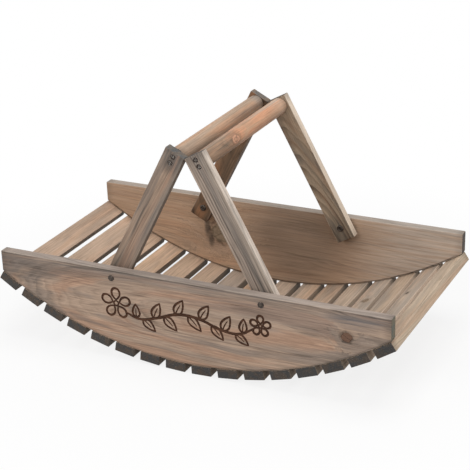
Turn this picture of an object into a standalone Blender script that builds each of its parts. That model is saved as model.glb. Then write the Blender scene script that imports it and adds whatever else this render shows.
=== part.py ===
"""Slatted wooden garden trug with two folding handles.

Two side boards, straight on top and bowed below, carry cross slats under the bow. Two U-shaped handles,
each of two flat arms and a round grip, turn on bolts through the boards and lean together over the middle.
Metres, +Z up, +X along the trug, with the origin on the ground under the trug's middle.
"""

import math

import bmesh
import bpy
from mathutils import Matrix, Vector

# Side boards
BOARD_LENGTH = 0.600
BOARD_END_HEIGHT = 0.0315
BOARD_BOW = 0.0935
BOARD_THICKNESS = 0.015
BOARD_EDGE_ROUND = 0.0015
TRUG_WIDTH = 0.315
BOW_STEPS = 48

# Slats, laid across under the boards' bow
SLAT_COUNT = 16
SLAT_WIDTH = 0.031
SLAT_THICKNESS = 0.014
SLAT_EDGE_ROUND = 0.0008
END_SLAT_INSET = 0.0013

# Handles
PIVOT_SPACING = 0.231
PIVOT_BELOW_TOP = 0.0125
ARM_WIDTH = 0.031
ARM_THICKNESS = 0.013
ARM_ABOVE_PIVOT = 0.218
ARM_BELOW_PIVOT = 0.020
ARM_EDGE_ROUND = 0.0012
GRIP_DIAMETER = 0.025
GRIP_END_ROUND = 0.0006
GRIP_SIDES = 32

# Pivot bolt, the spacer between board and arm, and the sleeve nut that the arm turns on
BOLT_SHANK_DIAMETER = 0.005
BOLT_HEAD_DIAMETER = 0.009
BOLT_HEAD_HEIGHT = 0.0018
SPACER_DIAMETER = 0.016
SPACER_THICKNESS = 0.0022
SPACER_EDGE_ROUND = 0.0004
NUT_BARREL_DIAMETER = 0.0076
NUT_HEAD_DIAMETER = 0.010
NUT_HEAD_HEIGHT = 0.0018
NUT_BORE_FLOOR = 0.0015
HEAD_RIM_SHARE = 0.35
HEAD_ARC_STEPS = 4

# Screws that hold the arms to the ends of a grip
SCREW_HEAD_DIAMETER = 0.0075
SCREW_SHANK_DIAMETER = 0.003
SCREW_CONE_DEPTH = 0.0024
SCREW_LENGTH = 0.035
SCREW_TIP_LENGTH = 0.003
SCREW_SPACING = 0.010
SCREW_SINK = 0.0004

# Fits
SEAT_GAP = 0.0003
RUNNING_GAP = 0.0003
CUT_OVERRUN = 0.002
MERGE_DISTANCE = 0.000003
FASTENER_SIDES = 20
SHARP_ANGLE = math.radians(30)

# Worked out from the sizes above
BOARD_HEIGHT = BOARD_END_HEIGHT + BOARD_BOW
HALF_LENGTH = BOARD_LENGTH / 2
HALF_WIDTH = TRUG_WIDTH / 2
BOW_RADIUS = (HALF_LENGTH**2 + BOARD_BOW**2) / (2 * BOARD_BOW)
BOW_HALF_ANGLE = math.asin(HALF_LENGTH / BOW_RADIUS)
SLAT_TOP_RADIUS = BOW_RADIUS + SEAT_GAP
END_SLAT_ANGLE = BOW_HALF_ANGLE - math.asin((SLAT_WIDTH / 2 + END_SLAT_INSET) / BOW_RADIUS)
BOARD_CENTRE_Y = HALF_WIDTH - BOARD_THICKNESS / 2
SPACER_OUTER_Y = HALF_WIDTH - BOARD_THICKNESS - SEAT_GAP
ARM_OUTER_Y = SPACER_OUTER_Y - SPACER_THICKNESS - SEAT_GAP
ARM_INNER_Y = ARM_OUTER_Y - ARM_THICKNESS
ARM_CENTRE_Y = ARM_OUTER_Y - ARM_THICKNESS / 2
NUT_HEAD_Y = ARM_INNER_Y - SEAT_GAP
BOLT_HEAD_Y = HALF_WIDTH + SEAT_GAP
GRIP_LENGTH = 2 * (ARM_INNER_Y - SEAT_GAP)
GRIP_ABOVE_PIVOT = ARM_ABOVE_PIVOT - GRIP_DIAMETER / 2
PIVOT_X = PIVOT_SPACING / 2

# Colours seen on the wood and the steel, as linear red, green and blue
WARM_WOOD = (0.33, 0.22, 0.15)
GREY_WOOD = (0.27, 0.23, 0.19)
ROSE_WOOD = (0.40, 0.24, 0.16)
DARK_STEEL = (0.08, 0.07, 0.065)
SCREW_STEEL = (0.22, 0.20, 0.18)
WOOD_ROUGHNESS = 0.75
STEEL_ROUGHNESS = 0.45


def slat_angle(index):
    """The turn of one slat round the bow's centre, from the left end to the right."""
    return END_SLAT_ANGLE * (2 * index / (SLAT_COUNT - 1) - 1)


def slat_reach(angle):
    """How far below the bow's centre the lower edge of a slat at this turn comes."""
    underside = SLAT_TOP_RADIUS + SLAT_THICKNESS
    flat_half_width = SLAT_WIDTH / 2 - SLAT_EDGE_ROUND
    return underside * math.cos(angle) + flat_half_width * abs(math.sin(angle))


def bow_centre_height():
    """The trug stands on its lowest slats, so they set the height of the bow's centre."""
    return max(slat_reach(slat_angle(index)) for index in range(SLAT_COUNT))


def board_top_height():
    return bow_centre_height() - BOW_RADIUS + BOARD_HEIGHT


def handle_lean():
    """The lean from upright at which the two handles' rounded top corners meet over the middle."""
    up_arm = ARM_ABOVE_PIVOT - ARM_EDGE_ROUND
    across_arm = ARM_WIDTH / 2 - ARM_EDGE_ROUND
    reach = PIVOT_X - RUNNING_GAP / 2 - ARM_EDGE_ROUND
    return math.asin(reach / math.hypot(up_arm, across_arm)) - math.atan2(across_arm, up_arm)


def blend(first, second, share):
    return tuple(a + (b - a) * share for a, b in zip(first, second))


def make_material(name, colour, roughness, metallic):
    material = bpy.data.materials.new(name)
    material.use_nodes = True
    shader = material.node_tree.nodes["Principled BSDF"]
    shader.inputs["Base Color"].default_value = (*colour, 1)
    shader.inputs["Roughness"].default_value = roughness
    shader.inputs["Metallic"].default_value = metallic
    material.diffuse_color = (*colour, 1)
    return material


def make_wood(name, colour):
    return make_material(name, colour, WOOD_ROUGHNESS, 0)


def make_steel(name, colour):
    return make_material(name, colour, STEEL_ROUGHNESS, 1)


def mesh_from(bm, name):
    bmesh.ops.recalc_face_normals(bm, faces=bm.faces)
    mesh = bpy.data.meshes.new(name)
    bm.to_mesh(mesh)
    bm.free()
    return mesh


def block_mesh(name, low, high):
    """A plain block between two corners."""
    size = Vector(high) - Vector(low)
    middle = (Vector(high) + Vector(low)) / 2
    bm = bmesh.new()
    bmesh.ops.create_cube(bm, size=1, matrix=Matrix.Translation(middle) @ Matrix.Diagonal((*size, 1)))
    return mesh_from(bm, name)


def outline_mesh(name, outline, thickness):
    """An outline in the XZ plane, given its thickness along Y."""
    bm = bmesh.new()
    face = bm.faces.new([bm.verts.new((x, -thickness / 2, z)) for x, z in outline])
    extruded = bmesh.ops.extrude_face_region(bm, geom=[face])["geom"]
    moved = [item for item in extruded if isinstance(item, bmesh.types.BMVert)]
    bmesh.ops.translate(bm, verts=moved, vec=(0, thickness, 0))
    return mesh_from(bm, name)


def turned_into(bm, profile, at, sides):
    """Turn a profile of (radius, distance along +Y) round the Y axis through a point, closed on itself."""
    closed = profile[0][0] > 0
    verts = [bm.verts.new((at[0] + radius, at[1] + along, at[2])) for radius, along in profile]
    pairs = list(zip(verts, verts[1:]))
    if closed:
        pairs.append((verts[-1], verts[0]))
    edges = [bm.edges.new(pair) for pair in pairs]
    bmesh.ops.spin(
        bm,
        geom=verts + edges,
        cent=at,
        axis=(0, 1, 0),
        angle=2 * math.pi,
        steps=sides,
        use_merge=True,
        use_duplicate=False,
    )


def turned_mesh(name, profile, sides):
    bm = bmesh.new()
    turned_into(bm, profile, (0, 0, 0), sides)
    bmesh.ops.remove_doubles(bm, verts=bm.verts, dist=MERGE_DISTANCE)
    mesh = mesh_from(bm, name)
    mesh.shade_smooth()
    mesh.set_sharp_from_angle(angle=SHARP_ANGLE)
    return mesh


def drill_mesh(name, drills):
    """Several turned drills in one mesh, each a profile and the point that it starts from."""
    bm = bmesh.new()
    for profile, at in drills:
        turned_into(bm, profile, at, FASTENER_SIDES)
    bmesh.ops.remove_doubles(bm, verts=bm.verts, dist=MERGE_DISTANCE)
    return mesh_from(bm, name)


def straight_drill(radius, start, end):
    return [(0, start), (radius, start), (radius, end), (0, end)]


def shaped_mesh(name, mesh, edge_round, cutter_mesh=None):
    """The mesh with its sharp edges rounded and its holes cut."""
    body = bpy.data.objects.new(name, mesh)
    bpy.context.collection.objects.link(body)
    bevel = body.modifiers.new("edge_round", "BEVEL")
    bevel.width = edge_round
    bevel.segments = 2
    bevel.limit_method = "ANGLE"
    bevel.angle_limit = SHARP_ANGLE
    made = [body]
    if cutter_mesh:
        cutter = bpy.data.objects.new(name + "_cutter", cutter_mesh)
        bpy.context.collection.objects.link(cutter)
        cutter.hide_render = True
        cutter.display_type = "WIRE"
        cut = body.modifiers.new("holes", "BOOLEAN")
        cut.object = cutter
        cut.operation = "DIFFERENCE"
        cut.solver = "EXACT"
        made.append(cutter)
    graph = bpy.context.evaluated_depsgraph_get()
    shaped = bpy.data.meshes.new_from_object(body.evaluated_get(graph))
    shaped.name = name
    for item in made:
        bpy.data.objects.remove(item)
    shaped.shade_smooth()
    shaped.set_sharp_from_angle(angle=SHARP_ANGLE)
    return shaped


def place(name, mesh, material, parent, location, turn=(0, 0, 0)):
    """One named piece with its own material, under its parent."""
    piece = bpy.data.objects.new(name, mesh.copy())
    piece.data.name = name
    piece.data.materials.clear()
    piece.data.materials.append(material)
    piece.parent = parent
    piece.location = location
    piece.rotation_euler = turn
    bpy.context.collection.objects.link(piece)
    return piece


def make_empty(name, parent, location, turn=(0, 0, 0)):
    empty = bpy.data.objects.new(name, None)
    empty.empty_display_size = ARM_WIDTH
    empty.parent = parent
    empty.location = location
    empty.rotation_euler = turn
    bpy.context.collection.objects.link(empty)
    return empty


def cap_profile(radius, height, along, direction):
    """From the middle of a low domed head's top out to its rim, at a seat face along the axis."""
    rim = height * HEAD_RIM_SHARE
    crown = height - rim
    dome_radius = (radius**2 + crown**2) / (2 * crown)
    half_angle = math.asin(radius / dome_radius)
    points = []
    for step in range(HEAD_ARC_STEPS + 1):
        angle = half_angle * step / HEAD_ARC_STEPS
        fall = dome_radius * (1 - math.cos(angle))
        points.append((dome_radius * math.sin(angle), along + direction * (height - fall)))
    points[0] = (0, along + direction * height)
    points.append((radius, along))
    return points


def board_mesh():
    """Side board: origin at the middle of its straight top edge."""
    centre = BOW_RADIUS - BOARD_HEIGHT
    outline = [(-HALF_LENGTH, 0), (HALF_LENGTH, 0)]
    for step in range(BOW_STEPS + 1):
        angle = BOW_HALF_ANGLE * (1 - 2 * step / BOW_STEPS)
        outline.append((BOW_RADIUS * math.sin(angle), centre - BOW_RADIUS * math.cos(angle)))
    hole_radius = BOLT_SHANK_DIAMETER / 2 + RUNNING_GAP
    drill = straight_drill(hole_radius, -BOARD_THICKNESS / 2 - CUT_OVERRUN, BOARD_THICKNESS / 2 + CUT_OVERRUN)
    holes = [(drill, (side * PIVOT_X, 0, -PIVOT_BELOW_TOP)) for side in (-1, 1)]
    blank = outline_mesh("board_blank", outline, BOARD_THICKNESS)
    return shaped_mesh("board", blank, BOARD_EDGE_ROUND, drill_mesh("board_holes", holes))


def slat_mesh():
    """Cross slat: origin at the middle of its upper face."""
    low = (-SLAT_WIDTH / 2, -HALF_WIDTH, -SLAT_THICKNESS)
    high = (SLAT_WIDTH / 2, HALF_WIDTH, 0)
    return shaped_mesh("slat", block_mesh("slat_blank", low, high), SLAT_EDGE_ROUND)


def screw_places():
    """Heights of the two screws at a grip's end, above the pivot."""
    return [GRIP_ABOVE_PIVOT + side * SCREW_SPACING / 2 for side in (1, -1)]


def arm_mesh():
    """Handle arm, outer face towards -Y: origin on the pivot, halfway through the arm."""
    low = (-ARM_WIDTH / 2, -ARM_THICKNESS / 2, -ARM_BELOW_PIVOT)
    high = (ARM_WIDTH / 2, ARM_THICKNESS / 2, ARM_ABOVE_PIVOT)
    past_faces = ARM_THICKNESS / 2 + CUT_OVERRUN
    pivot_drill = straight_drill(NUT_BARREL_DIAMETER / 2 + RUNNING_GAP, -past_faces, past_faces)
    holes = [(pivot_drill, (0, 0, 0))]
    head_radius = SCREW_HEAD_DIAMETER / 2 + SEAT_GAP
    shank_radius = SCREW_SHANK_DIAMETER / 2 + SEAT_GAP
    cone_start = SCREW_SINK - ARM_THICKNESS / 2
    screw_drill = [
        (0, -past_faces),
        (head_radius, -past_faces),
        (head_radius, cone_start),
        (shank_radius, cone_start + SCREW_CONE_DEPTH),
        (shank_radius, past_faces),
        (0, past_faces),
    ]
    holes += [(screw_drill, (0, 0, height)) for height in screw_places()]
    blank = block_mesh("arm_blank", low, high)
    return shaped_mesh("arm", blank, ARM_EDGE_ROUND, drill_mesh("arm_holes", holes))


def grip_mesh():
    """Round grip along Y with screw holes in both ends: origin at its middle."""
    half = GRIP_LENGTH / 2
    radius = GRIP_DIAMETER / 2
    rod = turned_mesh("grip_blank", [(0, -half), (radius, -half), (radius, half), (0, half)], GRIP_SIDES)
    hole_radius = SCREW_SHANK_DIAMETER / 2 + SEAT_GAP
    reach = SCREW_SINK + SCREW_LENGTH - (ARM_OUTER_Y - half)
    hole_floor = half - reach - SEAT_GAP
    holes = []
    for side in (-1, 1):
        drill = straight_drill(hole_radius, side * (half + CUT_OVERRUN), side * hole_floor)
        holes += [(drill, (0, 0, across * SCREW_SPACING / 2)) for across in (-1, 1)]
    return shaped_mesh("grip", rod, GRIP_END_ROUND, drill_mesh("grip_holes", holes))


def bolt_mesh():
    """Pivot bolt, head towards -Y: origin on the axis, under the head."""
    shank_end = BOLT_HEAD_Y - NUT_HEAD_Y - NUT_BORE_FLOOR
    shank_radius = BOLT_SHANK_DIAMETER / 2
    profile = cap_profile(BOLT_HEAD_DIAMETER / 2, BOLT_HEAD_HEIGHT, 0, -1)
    profile += [(shank_radius, 0), (shank_radius, shank_end), (0, shank_end)]
    return turned_mesh("bolt", profile, FASTENER_SIDES)


def spacer_mesh():
    """Flat ring between board and arm: origin on the axis, on the face towards the board."""
    outer = SPACER_DIAMETER / 2
    inner = BOLT_SHANK_DIAMETER / 2 + RUNNING_GAP
    profile = [
        (inner, 0),
        (outer - SPACER_EDGE_ROUND, 0),
        (outer, SPACER_EDGE_ROUND),
        (outer, SPACER_THICKNESS - SPACER_EDGE_ROUND),
        (outer - SPACER_EDGE_ROUND, SPACER_THICKNESS),
        (inner, SPACER_THICKNESS),
    ]
    return turned_mesh("spacer", profile, FASTENER_SIDES)


def nut_mesh():
    """Sleeve nut, domed head towards +Y and barrel towards -Y: origin on the axis, under the head."""
    barrel_end = -(ARM_THICKNESS + SEAT_GAP)
    bore_radius = BOLT_SHANK_DIAMETER / 2 + SEAT_GAP
    barrel_radius = NUT_BARREL_DIAMETER / 2
    bore_floor = -NUT_BORE_FLOOR + SEAT_GAP
    profile = cap_profile(NUT_HEAD_DIAMETER / 2, NUT_HEAD_HEIGHT, 0, 1)
    profile += [
        (barrel_radius, 0),
        (barrel_radius, barrel_end),
        (bore_radius, barrel_end),
        (bore_radius, bore_floor),
        (0, bore_floor),
    ]
    return turned_mesh("nut", profile, FASTENER_SIDES)


def screw_mesh():
    """Countersunk screw, head towards -Y: origin in the middle of the head's face."""
    head_radius = SCREW_HEAD_DIAMETER / 2
    shank_radius = SCREW_SHANK_DIAMETER / 2
    profile = [
        (0, 0),
        (head_radius, 0),
        (shank_radius, SCREW_CONE_DEPTH),
        (shank_radius, SCREW_LENGTH - SCREW_TIP_LENGTH),
        (0, SCREW_LENGTH),
    ]
    return turned_mesh("screw", profile, FASTENER_SIDES)


def build_boards(trug):
    mesh = board_mesh()
    for name, side in (("front", -1), ("back", 1)):
        board = "side_board_" + name
        material = make_wood(board + "_wood", blend(WARM_WOOD, GREY_WOOD, (1 - side) / 2))
        place(board, mesh, material, trug, (0, side * BOARD_CENTRE_Y, board_top_height()))


def build_slats(trug):
    mesh = slat_mesh()
    for index in range(SLAT_COUNT):
        angle = slat_angle(index)
        across = SLAT_TOP_RADIUS * math.sin(angle)
        height = bow_centre_height() - SLAT_TOP_RADIUS * math.cos(angle)
        name = f"slat_{index + 1:02d}"
        material = make_wood(name + "_wood", blend(WARM_WOOD, GREY_WOOD, index / (SLAT_COUNT - 1)))
        place(name, mesh, material, trug, (across, 0, height), (0, -angle, 0))


def build_pivots(trug):
    """A bolt, a spacer and a sleeve nut at each of the four pivots."""
    bolt = bolt_mesh()
    spacer = spacer_mesh()
    nut = nut_mesh()
    height = board_top_height() - PIVOT_BELOW_TOP
    for end_name, end in (("left", -1), ("right", 1)):
        for side_name, side in (("front", -1), ("back", 1)):
            place_name = f"{end_name}_{side_name}"
            turn = (0, 0, math.pi * (side + 1) / 2)
            steel = make_steel("bolt_steel_" + place_name, DARK_STEEL)
            location = (end * PIVOT_X, side * BOLT_HEAD_Y, height)
            place("pivot_bolt_" + place_name, bolt, steel, trug, location, turn)
            steel = make_steel("spacer_steel_" + place_name, DARK_STEEL)
            location = (end * PIVOT_X, side * SPACER_OUTER_Y, height)
            place("pivot_spacer_" + place_name, spacer, steel, trug, location, turn)
            steel = make_steel("nut_steel_" + place_name, DARK_STEEL)
            location = (end * PIVOT_X, side * NUT_HEAD_Y, height)
            place("sleeve_nut_" + place_name, nut, steel, trug, location, turn)


def build_handle(trug, end_name, end, arm, grip, screw):
    """One U-shaped handle under an empty on its pivot axis, leaning in over the middle."""
    height = board_top_height() - PIVOT_BELOW_TOP
    pivot = make_empty(end_name + "_handle", trug, (end * PIVOT_X, 0, height), (0, -end * handle_lean(), 0))
    grip_wood = make_wood(f"grip_{end_name}_wood", blend(WARM_WOOD, ROSE_WOOD, (1 + end) / 2))
    place("grip_" + end_name, grip, grip_wood, pivot, (0, 0, GRIP_ABOVE_PIVOT))
    for side_name, side in (("front", -1), ("back", 1)):
        turn = (0, 0, math.pi * (side + 1) / 2)
        place_name = f"{end_name}_{side_name}"
        arm_wood = make_wood(f"arm_{place_name}_wood", blend(WARM_WOOD, GREY_WOOD, (1 + end) / 2))
        place("arm_" + place_name, arm, arm_wood, pivot, (0, side * ARM_CENTRE_Y, 0), turn)
        for level, above in zip(("upper", "lower"), screw_places()):
            steel = make_steel(f"screw_steel_{place_name}_{level}", SCREW_STEEL)
            location = (0, side * (ARM_OUTER_Y - SCREW_SINK), above)
            place(f"grip_screw_{place_name}_{level}", screw, steel, pivot, location, turn)


def build_handles(trug):
    arm = arm_mesh()
    grip = grip_mesh()
    screw = screw_mesh()
    for end_name, end in (("left", -1), ("right", 1)):
        build_handle(trug, end_name, end, arm, grip, screw)


def main():
    for item in list(bpy.data.objects):
        bpy.data.objects.remove(item)
    trug = make_empty("trug", None, (0, 0, 0))
    build_boards(trug)
    build_slats(trug)
    build_pivots(trug)
    build_handles(trug)


main()
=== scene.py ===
import math

import bmesh
import bpy
from mathutils import Matrix, Vector, noise


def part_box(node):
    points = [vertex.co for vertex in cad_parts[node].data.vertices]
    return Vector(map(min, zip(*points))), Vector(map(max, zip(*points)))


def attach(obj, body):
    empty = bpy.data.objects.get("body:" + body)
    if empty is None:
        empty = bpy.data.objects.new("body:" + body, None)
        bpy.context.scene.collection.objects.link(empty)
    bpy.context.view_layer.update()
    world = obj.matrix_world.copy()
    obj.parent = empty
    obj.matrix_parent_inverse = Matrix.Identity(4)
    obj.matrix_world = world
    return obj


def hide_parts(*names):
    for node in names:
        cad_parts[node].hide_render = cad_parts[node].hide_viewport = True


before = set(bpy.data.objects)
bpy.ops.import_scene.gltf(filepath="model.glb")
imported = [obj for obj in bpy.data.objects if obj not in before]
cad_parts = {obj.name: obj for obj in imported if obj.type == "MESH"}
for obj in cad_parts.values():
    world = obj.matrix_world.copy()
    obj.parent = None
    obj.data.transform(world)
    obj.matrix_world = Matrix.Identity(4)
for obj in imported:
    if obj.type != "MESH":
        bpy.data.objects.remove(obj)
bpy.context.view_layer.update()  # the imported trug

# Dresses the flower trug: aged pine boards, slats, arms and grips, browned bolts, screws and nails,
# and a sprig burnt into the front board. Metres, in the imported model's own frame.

# Wooden pieces
BOW_RADIUS = 0.528033
BOW_CENTRE = Vector((0, 0, 0.542499))
BOW_STEPS = 96
BOARD_LOW, BOARD_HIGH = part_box("side_board_front")
BOARD_MIDDLE = (BOARD_LOW.z + BOARD_HIGH.z) / 2
BOARD_HALF = (BOARD_HIGH - BOARD_LOW).xzy / 2
BOARD_EASE = 0.0015
SLAT_COUNT = 16
SLAT_HALF = Vector((0.1575, 0.0155, 0.0070))
SLAT_EASE = 0.0009
ARM_HALF = Vector((0.119, 0.0155, 0.0065))
ARM_ABOVE_PIVOT = 0.218
ARM_EASE = 0.0013
GRIP_LOW, GRIP_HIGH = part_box("grip_left")
GRIP_HALF_LENGTH = (GRIP_HIGH.y - GRIP_LOW.y) / 2
GRIP_RADIUS = (GRIP_HIGH.x - GRIP_LOW.x) / 2
GRIP_EASE = 0.0008
GRIP_CORNER = 0.3
GRIP_SIDES = 56
EASE_STEPS = 3
SECTION_LENGTH = 0.012
UNEVENNESS = 0.00012
UNEVEN_RATE = 9.0
UNEVEN_SEED = 7
SHARP_ANGLE = math.radians(40)
MERGE_DISTANCE = 0.000001
LEAST_KNOT = 0.00001

# The trug's ends, sides and corners. A side's number is its direction along Y.
ENDS = ("left", "right")
SIDES = (("front", -1), ("back", 1))
CORNERS = [(end, name, side) for end in ENDS for name, side in SIDES]

# Fasteners
DRILL_OVERRUN = 0.002
BORE_RADIUS = 0.0041
BOLT_HOLE_RADIUS = 0.0028
BOLT_RADIUS = 0.0045
BOLT_DOME = 0.0018
DOME_RIM = 0.35
DOME_STEPS = 6
SHANK_RADIUS = 0.0025
SHANK_LENGTH = 0.0299
NUT_RADIUS = 0.005
NUT_DOME = 0.0018
NUT_SOCKET_RADIUS = 0.0026
NUT_SOCKET_DEPTH = 0.0012
NUT_SOCKET_TAPER = 0.0004
NUT_LIP_WIDTH, NUT_LIP_DEPTH = 0.0005, 0.0003
NUT_SHOULDER_WIDTH, NUT_SHOULDER_DEPTH = 0.0007, 0.0002
BARREL_RADIUS = 0.0038
BARREL_LENGTH = 0.0133
SCREW_RADIUS = 0.00375
SCREW_SHANK_RADIUS = 0.0015
SCREW_CONE = 0.0024
SCREW_SINK = 0.0004
SCREW_LENGTH = 0.035
SCREW_TIP = 0.003
SCREW_RIM_WIDTH, SCREW_RIM_DEPTH = 0.0002, 0.00015
SCREW_TURNS = {"upper": 25, "lower": 70}
SINK_RADIUS = 0.00405
CROSS_SIZE = Vector((0.0023, 0.00045, 0.0013))
CROSS_TAPER = (0.45, 0.6, 1)
NAIL_RADIUS = 0.0016
NAIL_SHANK_RADIUS = 0.0008
NAIL_LENGTH = 0.030
NAIL_PROUD = 0.0002
NAIL_HEAD = 0.0006
NAIL_NECK = 0.0014
NAIL_TIP = 0.002
FASTENER_SIDES = 32
NAIL_SIDES = 12

# The burnt sprig
GROOVE_RADIUS = 0.0020
GROOVE_STAND_OFF = 0.0006
GROOVE_STEPS = 6
GROOVE_FACETS = 2
SPRIG_CENTRE = Vector((-0.004, 0, 0.0850))
MILLIMETRES = 1000

# Camera, lamps and floor
CAMERA_PLACE = Vector((0.84406, -1.68539, 0.94275))
CAMERA_TURN = math.radians(26.549)
CAMERA_HEIGHT_ANGLE = math.radians(22.857)
CAMERA_ROLL = math.radians(-1.967)
CAMERA_LENS = 107.85
CAMERA_SENSOR = 36.0
LAMP_AIM = Vector((0, 0, 0.12))
LAMPS = {  # place, side length and watts
    "key": ((-1.0, -2.6, 1.6), 1.3, 31),
    "fill": ((2.4, -1.8, 1.9), 2.0, 18),
    "top": ((0.5, 0.1, 3.1), 2.0, 44),
}
WORLD_STRENGTH = 0.42
FLOOR_RADIUS = 9.0
FLOOR_SIDES = 96
FLOOR_GREY = 0.5
FLOOR_WHITE = 0.88
FLOOR_ROUGHNESS = 0.9
FLOOR_FADE = (0.32, 0.7, 0.82, 1.0)  # from and to this far out, and the share of backdrop at both
WHITE = (1, 1, 1)

ORIGIN = (0, 0, 0)
X_AXIS = Vector((1, 0, 0))
Y_AXIS = Vector((0, 1, 0))
Z_AXIS = Vector((0, 0, 1))


def feed(socket, value):
    """Links a socket, or types in a number, vector or colour. A colour gets its alpha here."""
    if isinstance(value, bpy.types.NodeSocket):
        socket.id_data.links.new(value, socket)
    else:
        socket.default_value = (*value, 1) if socket.type == "RGBA" else value


def new_node(kind, *values):
    """A node of this kind in the node tree that the first socket among the values belongs to."""
    tree = next(value.id_data for value in values if isinstance(value, bpy.types.NodeSocket))
    return tree.nodes.new("ShaderNode" + kind)


def feed_all(sockets, values):
    for socket, value in zip(sockets, values):
        feed(socket, value)


def calc(operation, *values):
    node = new_node("Math", *values)
    node.operation = operation
    feed_all(node.inputs, values)
    return node.outputs[0]


def less(a, b):
    """a less b."""
    return calc("SUBTRACT", a, b)


def scale(a, b):
    return calc("MULTIPLY", a, b)


def scale_add(a, b, c):
    """a times b, plus c."""
    return calc("MULTIPLY_ADD", a, b, c)


def vector_calc(operation, *values):
    node = new_node("VectorMath", *values)
    node.operation = operation
    feed_all(node.inputs, values)
    return node.outputs["Value"] if operation in ("LENGTH", "DOT_PRODUCT") else node.outputs[0]


def rise(value, low, high, lowest=0.0, highest=1.0):
    """A smooth step from low to high. It falls where low is the greater."""
    node = new_node("MapRange", value)
    node.interpolation_type = "SMOOTHSTEP"
    feed_all(node.inputs, (value, low, high, lowest, highest))
    return node.outputs[0]


def mottle(place, stretch, shift, detail=2.0, roughness=0.5):
    """Noise from 0 to 1 whose cells are 1/stretch metres long, wide and deep."""
    node = new_node("TexNoise", place)
    feed(node.inputs["Vector"], vector_calc("MULTIPLY_ADD", place, stretch, shift))
    node.inputs["Scale"].default_value = 1.0
    node.inputs["Detail"].default_value = detail
    node.inputs["Roughness"].default_value = roughness
    return node.outputs["Fac"]


def tint(share, a, b):
    """Colour a with this share of colour b."""
    node = new_node("Mix", share)
    node.data_type = "RGBA"
    node.clamp_factor = True
    feed(node.inputs[0], share)
    feed(node.inputs[6], a)
    feed(node.inputs[7], b)
    return node.outputs[2]


def times(colour, factor):
    node = new_node("VectorMath", colour, factor)
    node.operation = "SCALE"
    feed(node.inputs[0], colour)
    feed(node.inputs["Scale"], factor)
    return node.outputs[0]


def split(vector):
    node = new_node("SeparateXYZ", vector)
    feed(node.inputs[0], vector)
    return node.outputs


def new_group(name, inputs, outputs):
    """An empty node group, its entry's sockets and its exit's, made from labels and example values."""
    tree = bpy.data.node_groups.new(name, "ShaderNodeTree")
    for way, examples in (("INPUT", inputs), ("OUTPUT", outputs)):
        for label, example in examples.items():
            kind = "Vector" if isinstance(example, tuple) else "Float"
            if label.endswith(("wood", "stain", "Colour")):
                kind = "Color"
            tree.interface.new_socket(label, in_out=way, socket_type="NodeSocket" + kind)
    return tree, tree.nodes.new("NodeGroupInput").outputs, tree.nodes.new("NodeGroupOutput").inputs


def use_group(group, values):
    node = new_node("Group", *values.values())
    node.node_tree = group
    for label, value in values.items():
        feed(node.inputs[label], value)
    return node.outputs


EDGE_VALUES = {"Arris": 0.0, "End": 0.0, "Side": 0.0}


def make_block_edges():
    """How far a point of a sawn block is from its nearest arris, its ends and its narrow sides."""
    tree, given, result = new_group("block_edges", {"Place": ORIGIN, "Half size": ORIGIN}, EDGE_VALUES)
    from_middle = vector_calc("ABSOLUTE", given["Place"])
    depth = vector_calc("SUBTRACT", given["Half size"], from_middle)
    end, side, face = split(depth)
    least = calc("MINIMUM", end, side)
    most = calc("MAXIMUM", end, side)
    feed_all(result, (calc("MAXIMUM", least, calc("MINIMUM", most, face)), end, side))
    return tree


def make_board_edges():
    """The same for a side board, whose lower edge is bowed."""
    tree, given, result = new_group("board_edges", {"Place": ORIGIN}, EDGE_VALUES)
    place = given["Place"]
    along, up, out = split(place)
    end = less(BOARD_HALF.x, calc("ABSOLUTE", along))
    top = less(BOARD_HALF.y, up)
    face = less(BOARD_HALF.z, calc("ABSOLUTE", out))
    centre = (0, BOARD_MIDDLE - BOW_CENTRE.z, 0)
    reach = vector_calc("LENGTH", vector_calc("MULTIPLY_ADD", place, (1, 1, 0), centre))
    side = calc("MINIMUM", top, less(BOW_RADIUS, reach))
    feed_all(result, (calc("MAXIMUM", calc("MINIMUM", end, side), face), end, side))
    return tree


def make_rod_edges():
    """The same for a round grip, which has no sides."""
    tree, given, result = new_group("rod_edges", {"Place": ORIGIN}, EDGE_VALUES)
    along = split(given["Place"])[0]
    end = less(GRIP_HALF_LENGTH, calc("ABSOLUTE", along))
    from_axis = vector_calc("LENGTH", vector_calc("MULTIPLY", given["Place"], (0, 1, 1)))
    feed_all(result, (calc("MAXIMUM", end, less(GRIP_RADIUS, from_axis)), end, 1.0))
    return tree


def make_knot():
    """Pull swings the rings round a knot, core is its own wood, rim its bark and halo the resin round it."""
    inputs = {"Place": ORIGIN, "Centre": ORIGIN, "Radius": 0.0, "Squeeze": ORIGIN}
    outputs = dict.fromkeys(("Pull", "Core", "Rim", "Halo", "Share", "Crack"), 0.0)
    tree, given, result = new_group("knot", inputs, outputs)
    offset = vector_calc("SUBTRACT", given["Place"], given["Centre"])
    flat = vector_calc("MULTIPLY", offset, given["Squeeze"])
    wander = mottle(offset, (170, 170, 60), (3, 5, 7))
    wobble = scale_add(wander, 0.7, 0.65)
    distance = scale(vector_calc("LENGTH", flat), wobble)
    share = calc("DIVIDE", distance, calc("MAXIMUM", given["Radius"], LEAST_KNOT))
    squared = calc("POWER", calc("DIVIDE", share, 2.3), 2.0)
    pull = calc("EXPONENT", scale(squared, -1.0))
    core = rise(share, 1.08, 0.88)
    rim = scale(rise(share, 0.68, 0.98), rise(share, 1.5, 1.05))
    broken = rise(mottle(offset, (110, 110, 60), (8, 2, 1)), 0.38, 0.6, 0.25, 1.0)
    halo = rise(share, 2.8, 1.0)
    line = calc("ABSOLUTE", vector_calc("DOT_PRODUCT", offset, (0.5, 0.8, 0)))
    line = scale_add(wander, -0.0006, line)
    crack = scale(core, rise(line, 0.0003, -0.0002))
    feed_all(result, (pull, core, scale(rim, broken), halo, share, crack))
    return tree


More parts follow.
